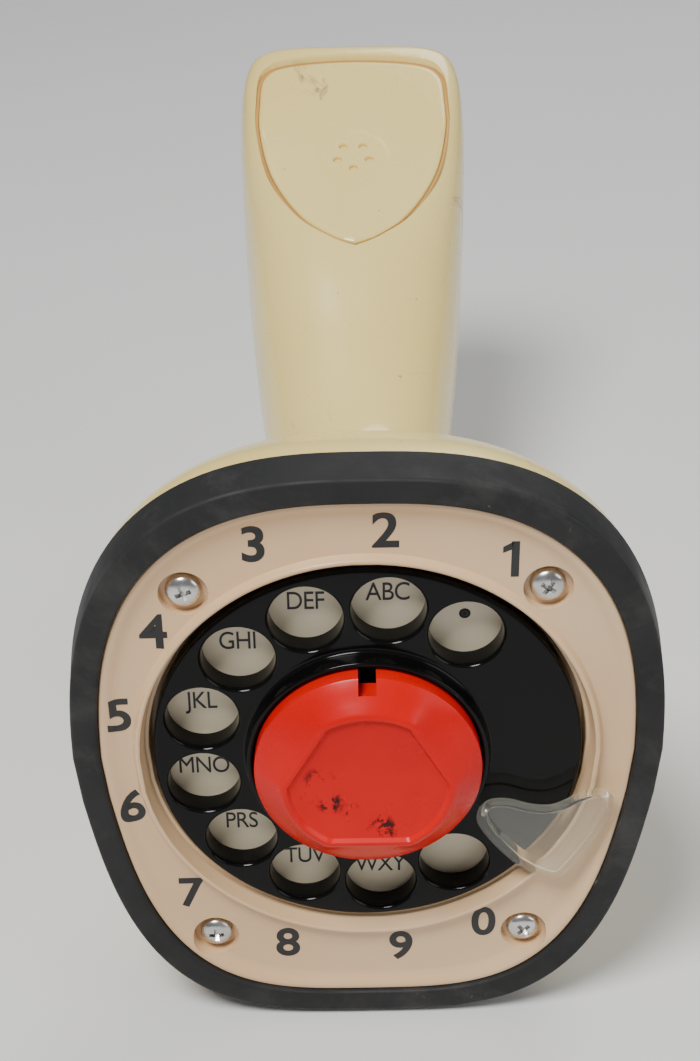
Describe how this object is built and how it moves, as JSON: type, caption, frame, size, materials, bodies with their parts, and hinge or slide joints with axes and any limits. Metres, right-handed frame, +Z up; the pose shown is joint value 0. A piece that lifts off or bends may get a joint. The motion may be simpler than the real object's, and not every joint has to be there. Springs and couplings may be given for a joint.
{
  "type": "rotary telephone",
  "caption": "One-piece rotary desk telephone lying on its back: dial and hook button in the foot, a narrow neck and a leaning earpiece head.",
  "frame": {"origin": "bottom centre of the object's box, on the surface it lies on", "axes": "+X to the right of the dial as it is faced, +Y from the foot to the head, +Z up, away from the surface that the back lies on"},
  "size_m": [0.0999, 0.23, 0.1163],
  "materials": {
    "shell": "glossy moulded plastic with light scuffs",
    "seal": "aged rubber",
    "capsule": "satin",
    "clip": "satin",
    "ring": "scuffed matt",
    "plate": "satin",
    "screws": "worn nickel",
    "wheel": "glossy",
    "letters": "satin, printed letters",
    "clear": "clear plastic",
    "button": "glossy",
    "plunger": "satin",
    "brass": "machined",
    "pins": "ground",
    "insulator": "satin",
    "cup": "drawn",
    "frame": "zinc plated",
    "spring": "tempered",
    "board": "laminate",
    "coil": "varnished winding",
    "capacitor": "drawn can"
  },
  "bodies": {
    "housing": {"housing_shell": "shell", "earpiece_cap": "shell", "earpiece_seal": "seal", "receiver_capsule": "capsule", "receiver_clip": "clip", "foot_ring": "ring", "base_plate": "plate", "plate_screws": "screws", "letter_plate": "letters", "finger_stop": "clear", "governor_cup": "cup", "dial_bridge": "frame", "dial_frame": "frame", "bridge_pillars": "pins", "bridge_screws": "pins", "main_spring": "spring", "spring_post": "pins", "pulse_contacts": "insulator", "hook_lever_pin": "pins", "hook_bracket": "frame", "hook_switch_stack": "insulator", "hook_return_spring": "spring", "microphone_capsule": "capsule", "microphone_holder": "insulator", "network_board": "board", "induction_coil": "coil", "network_capacitor": "capacitor", "cord_grommet": "ring", "board_rails": "shell"},
    "dial_rotor": {"finger_wheel": "wheel", "dial_spindle": "brass", "main_gear": "brass"},
    "idler": {"idler_pinion": "brass", "idler_gear": "brass", "idler_shaft": "pins", "pulse_cam": "insulator"},
    "governor": {"governor_pinion": "brass", "governor_shaft": "pins", "governor_weights": "brass"},
    "hook": {"hook_button": "button", "hook_plunger": "plunger"},
    "lever": {"hook_lever": "frame"}
  },
  "joints": [
    {"name": "dial_turn", "type": "hinge", "parent": "housing", "child": "dial_rotor", "pos_m": [0, -0.10805, 0.0583], "axis": [0, 1, 0], "range_deg": [0, 313], "stiffness_Nm_per_rad": 0.004, "springref_deg": -85.94, "deforming": ["main_spring"]},
    {"name": "idler_spin", "type": "hinge", "parent": "housing", "child": "idler", "pos_m": [-0.02565, -0.10805, 0.04896], "axis": [0, 1, 0], "range_deg": [-2100, 10]},
    {"name": "governor_spin", "type": "hinge", "parent": "housing", "child": "governor", "pos_m": [-0.01725, -0.10805, 0.03441], "axis": [0, 1, 0], "range_deg": [-30, 6300]},
    {"name": "hook_press", "type": "slide", "parent": "housing", "child": "hook", "axis": [0, 1, 0], "range_m": [0, 0.0068], "stiffness_N_per_m": 150, "springref_m": -0.004, "deforming": ["hook_return_spring"]},
    {"name": "lever_swing", "type": "hinge", "parent": "housing", "child": "lever", "pos_m": [0, -0.07205, 0.0843], "axis": [1, 0, 0], "range_deg": [-1, 16]}
  ],
  "couplings": [
    {"joint": "idler_spin", "follows": "dial_turn", "ratio": -6.5833},
    {"joint": "governor_spin", "follows": "dial_turn", "ratio": 19.75},
    {"joint": "lever_swing", "follows": "hook_press", "rad_per_m": 38.462}
  ]
}
